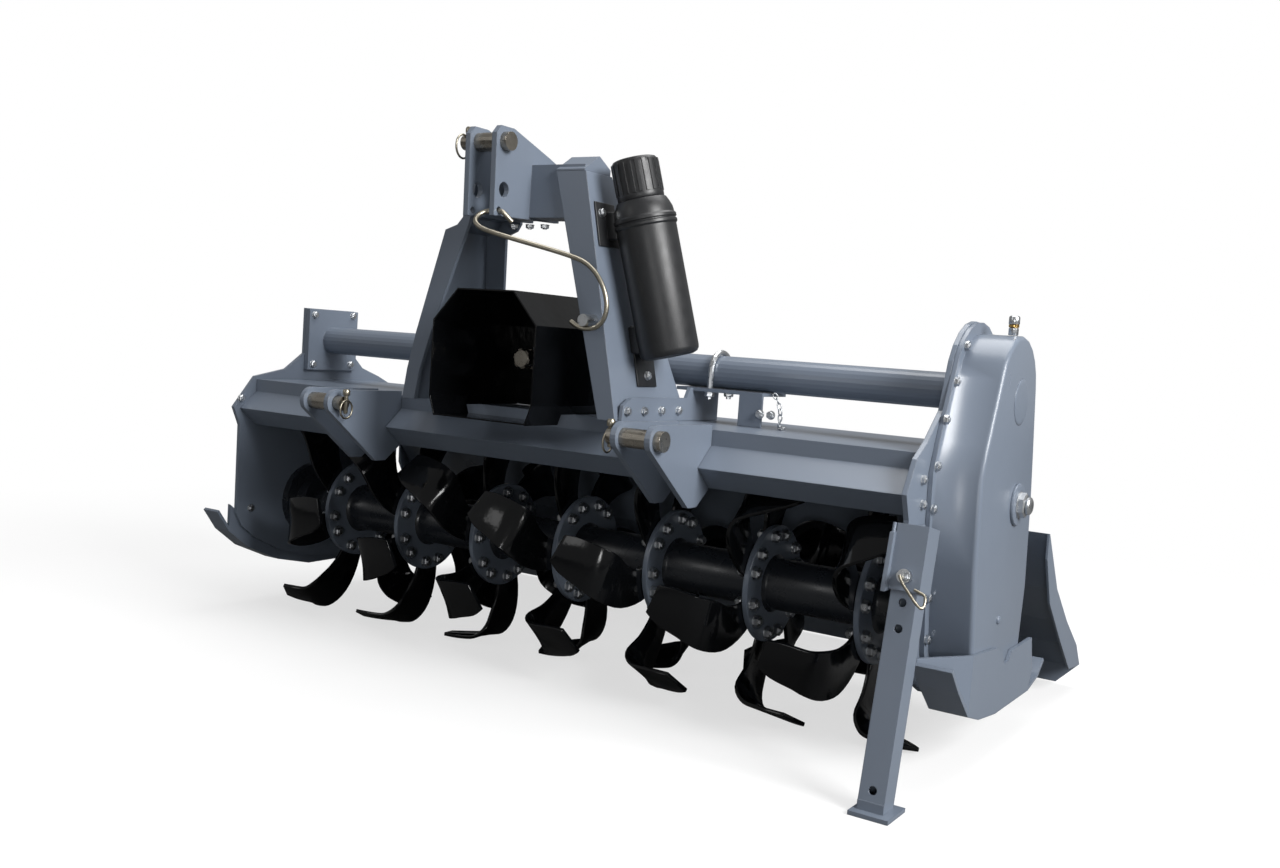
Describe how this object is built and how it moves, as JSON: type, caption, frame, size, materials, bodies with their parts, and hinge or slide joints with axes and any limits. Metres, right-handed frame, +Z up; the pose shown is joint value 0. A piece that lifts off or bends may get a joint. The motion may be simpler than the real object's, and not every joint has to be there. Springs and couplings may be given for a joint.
{
  "type": "rotary tiller",
  "caption": "Three-point-hitch rotary tiller with side chain drive, bolted tine rotor, hinged tail board and parking stand.",
  "frame": {"origin": "centre of the machine's box on the floor it is parked on", "axes": "+X across the machine towards the chain case, +Y to the rear (away from the tractor), +Z up"},
  "size_m": [1.606, 0.9571, 0.951],
  "materials": {
    "blue_grey_paint": "satin blue-grey powder coat",
    "gloss_black": "gloss black paint",
    "black_plastic": "textured moulded plastic",
    "zinc": "bright zinc plate",
    "bare_steel": "oiled turned steel",
    "cast_iron": "painted casting"
  },
  "bodies": {
    "frame": {"bearing_hub": "blue_grey_paint", "breather": "zinc", "canister": "black_plastic", "canister_cap": "black_plastic", "chain_case": "blue_grey_paint", "deck": "blue_grey_paint", "drive_hub": "blue_grey_paint", "front_beam": "blue_grey_paint", "gearbox": "cast_iron", "hinge_rod": "zinc", "hitch_pin_left": "bare_steel", "hitch_pin_right": "bare_steel", "hook_clip": "zinc", "hook_wire": "zinc", "input_shield": "gloss_black", "lock_pin": "zinc", "lug_left_inner": "blue_grey_paint", "lug_left_outer": "blue_grey_paint", "lug_right_inner": "blue_grey_paint", "lug_right_outer": "blue_grey_paint", "mast_foot_left": "blue_grey_paint", "mast_foot_right": "blue_grey_paint", "mast_head": "blue_grey_paint", "mast_leg_left": "blue_grey_paint", "mast_leg_right": "blue_grey_paint", "shaft_tube_left": "blue_grey_paint", "shaft_tube_right": "blue_grey_paint", "side_plate_left": "blue_grey_paint", "side_plate_right": "blue_grey_paint", "skid_left": "blue_grey_paint", "skid_right": "blue_grey_paint", "stand_sleeve": "blue_grey_paint", "tensioner_plug": "zinc", "top_link_pin": "bare_steel", "u_bolt_left": "zinc", "u_bolt_right": "zinc"},
    "rotor": {"tine_rotor": "gloss_black"},
    "tail_board": {"tail_board": "blue_grey_paint"},
    "stand": {"stand_leg": "blue_grey_paint"},
    "input": {"input_shaft": "zinc"}
  },
  "joints": [
    {"name": "rotor_spin", "type": "hinge", "parent": "frame", "child": "rotor", "pos_m": [-0.02865, -0.13064, 0.222], "axis": [1, 0, 0], "continuous": true},
    {"name": "input_spin", "type": "hinge", "parent": "frame", "child": "input", "pos_m": [-0.02865, -0.23594, 0.573], "axis": [0, -1, 0], "continuous": true},
    {"name": "tail_board_swing", "type": "hinge", "parent": "frame", "child": "tail_board", "pos_m": [-0.02865, 0.13136, 0.405], "axis": [1, 0, 0], "range_deg": [-4, 55]},
    {"name": "stand_slide", "type": "slide", "parent": "frame", "child": "stand", "axis": [0, 0.1994, 0.9799], "range_m": [0, 0.15]}
  ],
  "couplings": [
    {"joint": "input_spin", "follows": "rotor_spin", "ratio": 2.45}
  ]
}
